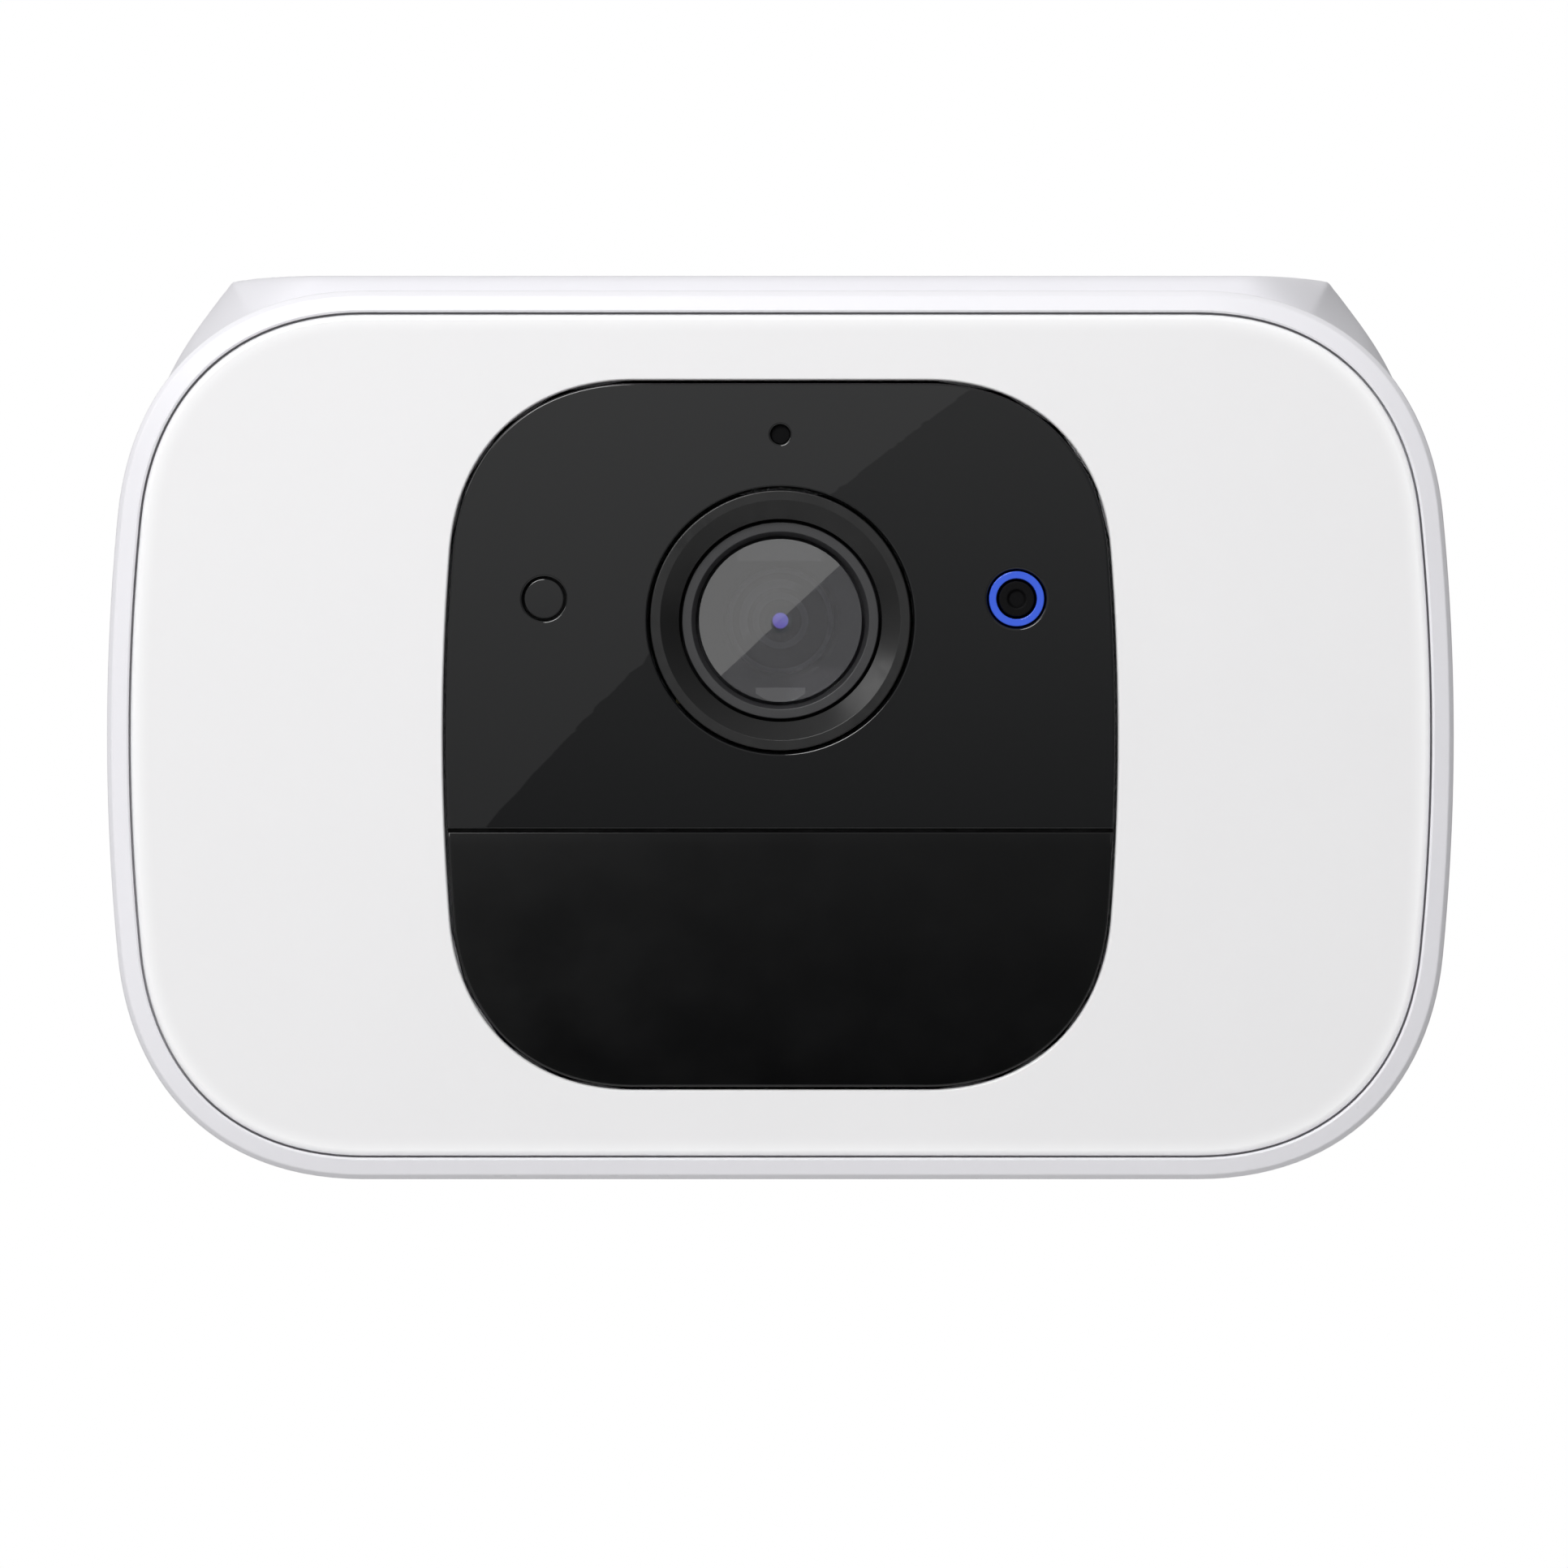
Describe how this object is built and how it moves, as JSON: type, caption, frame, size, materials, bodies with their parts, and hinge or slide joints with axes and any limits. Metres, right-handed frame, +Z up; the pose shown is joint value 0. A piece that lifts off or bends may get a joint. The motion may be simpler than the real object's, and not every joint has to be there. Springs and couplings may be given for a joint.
{
  "type": "floodlight security camera",
  "caption": "Compact wire-free security camera with a full-face white floodlight panel, a solar roof and a ball-jointed wall bracket.",
  "frame": {"origin": "centre of the wall plate's back face, on the wall", "axes": "+Z up, +Y into the wall, so the lens looks along -Y and +X is to the right for someone who faces the lens"},
  "size_m": [0.134, 0.1242, 0.0901],
  "materials": {
    "white_shell": "fine moulded satin white",
    "diffuser": "glossy opal white",
    "black_gloss": "high gloss black",
    "black_satin": "satin black",
    "black_matt": "matt black",
    "retainer_grey": "satin dark grey",
    "lens_glass": "coated optical glass",
    "blue_light": "clear blue light pipe",
    "black_rubber": "matt black",
    "white_rubber": "soft matt white",
    "circuit_board": "green solder mask",
    "white_board": "white solder mask and white reflector",
    "aluminium": "bare sheet",
    "steel": "bright plated",
    "brass": "machined",
    "cell_wrap": "blue shrink sleeve on a metal can",
    "solar_glass": "laminated dark blue-black solar cells"
  },
  "bodies": {
    "wall_bracket": {"wall_bracket": "white_shell", "wall_screw_1": "steel", "wall_screw_2": "steel", "wall_screw_3": "steel"},
    "ball_liner": {"ball_liner": "black_matt"},
    "ball_stem": {"ball_stem": "steel"},
    "lock_ring": {"lock_ring": "black_matt"},
    "clamp_collar": {"clamp_collar": "white_shell"},
    "camera": {"bezel_ring": "white_shell", "face_seal": "black_rubber", "light_diffuser": "diffuser", "lens_fascia": "black_gloss", "sensor_window": "black_satin", "module_carrier": "black_matt", "lens_trim_ring": "black_gloss", "lens_retainer_ring": "retainer_grey", "lens_cover_glass": "lens_glass", "lens_barrel": "black_matt", "front_lens_element": "lens_glass", "image_sensor_board": "circuit_board", "status_light_ring": "blue_light", "status_light_core": "black_gloss", "light_sensor_window": "black_gloss", "light_sensor": "black_matt", "microphone": "aluminium", "motion_sensor": "steel", "motion_sensor_board": "circuit_board", "infrared_led_board": "circuit_board", "reflector_tray": "white_board", "led_board_left": "white_board", "led_board_right": "white_board", "heat_spreader": "aluminium", "main_board": "circuit_board", "wifi_antenna": "circuit_board", "battery_holder": "black_matt", "battery_cell_upper": "cell_wrap", "battery_cell_lower": "cell_wrap", "charge_board": "circuit_board", "charge_socket": "steel", "speaker": "black_matt", "speaker_seal": "black_rubber", "sync_switch": "circuit_board", "mount_insert": "brass", "rear_housing": "white_shell", "solar_panel": "solar_glass", "solar_panel_seal": "black_rubber", "housing_screw_1": "steel", "housing_screw_2": "steel", "housing_screw_3": "steel", "housing_screw_4": "steel"},
    "sync_button": {"sync_button": "white_rubber"},
    "port_cover": {"port_cover": "white_rubber"}
  },
  "joints": [
    {"name": "mount_pan", "type": "hinge", "parent": "wall_bracket", "child": "ball_liner", "pos_m": [0, -0.0404, 0], "axis": [0, 0, 1], "range_deg": [-28, 28]},
    {"name": "mount_tilt", "type": "hinge", "parent": "ball_liner", "child": "ball_stem", "pos_m": [0, -0.0404, 0], "axis": [1, 0, 0], "range_deg": [-22, 32]},
    {"name": "mount_roll", "type": "hinge", "parent": "ball_stem", "child": "camera", "pos_m": [0, -0.0404, 0], "axis": [0, 1, 0], "continuous": true},
    {"name": "collar_turn", "type": "hinge", "parent": "wall_bracket", "child": "clamp_collar", "pos_m": [0, -0.0404, 0], "axis": [0, 1, 0], "range_deg": [0, 60]},
    {"name": "lock_ring_turn", "type": "hinge", "parent": "ball_stem", "child": "lock_ring", "pos_m": [0, -0.0617, 0], "axis": [0, 1, 0], "range_deg": [0, 90]},
    {"name": "sync_button_press", "type": "slide", "parent": "camera", "child": "sync_button", "axis": [0, -1, 0], "range_m": [0, 0.0008], "stiffness_N_per_m": 1500},
    {"name": "port_cover_open", "type": "hinge", "parent": "camera", "child": "port_cover", "pos_m": [-0.036, -0.0649, -0.0172], "axis": [-1, 0, 0], "range_deg": [0, 110]}
  ]
}
